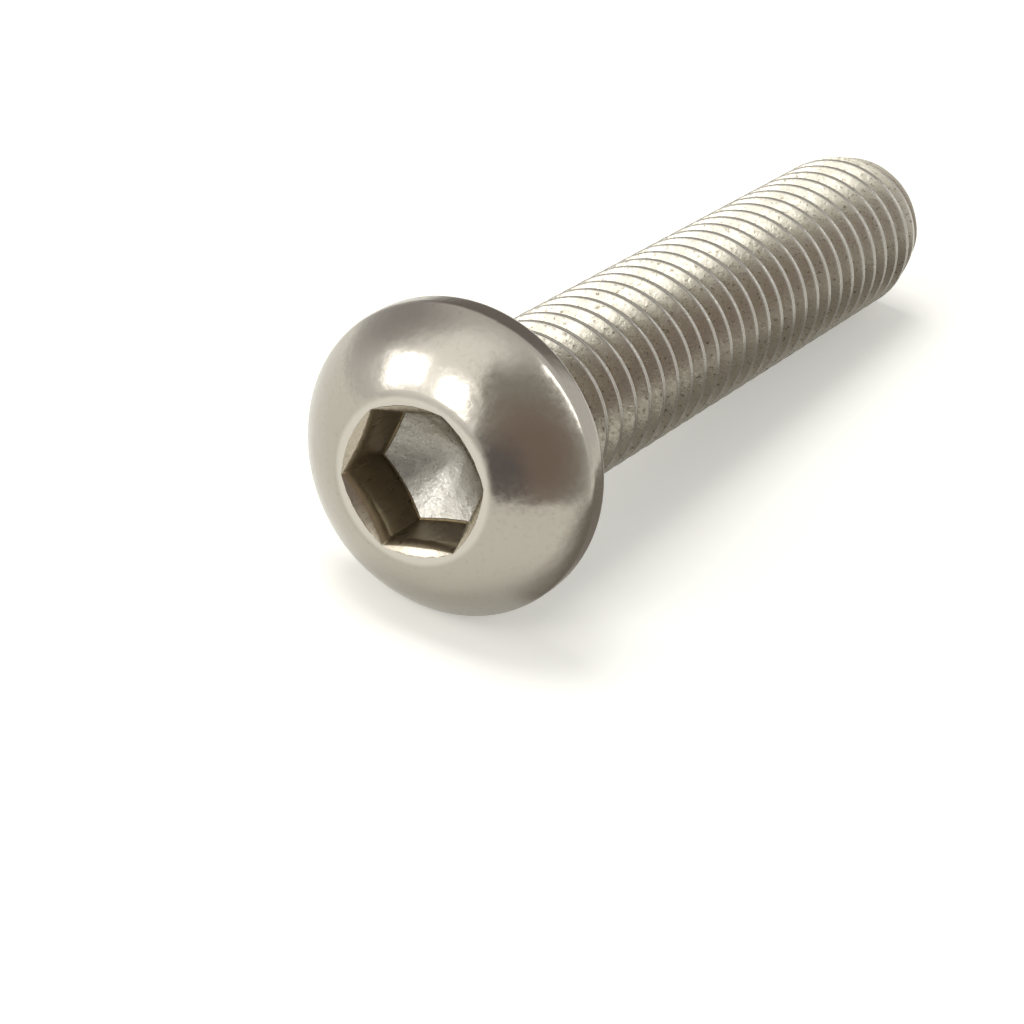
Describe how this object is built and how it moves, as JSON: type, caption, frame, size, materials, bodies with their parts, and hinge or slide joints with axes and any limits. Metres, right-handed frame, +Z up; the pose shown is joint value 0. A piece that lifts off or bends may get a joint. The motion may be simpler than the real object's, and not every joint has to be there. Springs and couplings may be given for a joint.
{
  "type": "button head screw",
  "caption": "Stainless steel machine screw with a low domed button head, a hexagon socket and a fully threaded shank. It clamps parts where a low, rounded head is wanted.",
  "frame": {"origin": "on the ground, under the middle of the screw as it lies", "axes": "+X along the screw towards its head, +Z up, +Y across; the screw lies on the rim of its head and on its thread near the tip, so its own axis rises 4.3 degrees towards the head"},
  "size_m": [0.0336, 0.0102, 0.0103],
  "materials": {
    "stainless_steel": "satin, cold formed and tumbled"
  },
  "bodies": {
    "root": {"screw": "stainless_steel"}
  },
  "joints": []
}
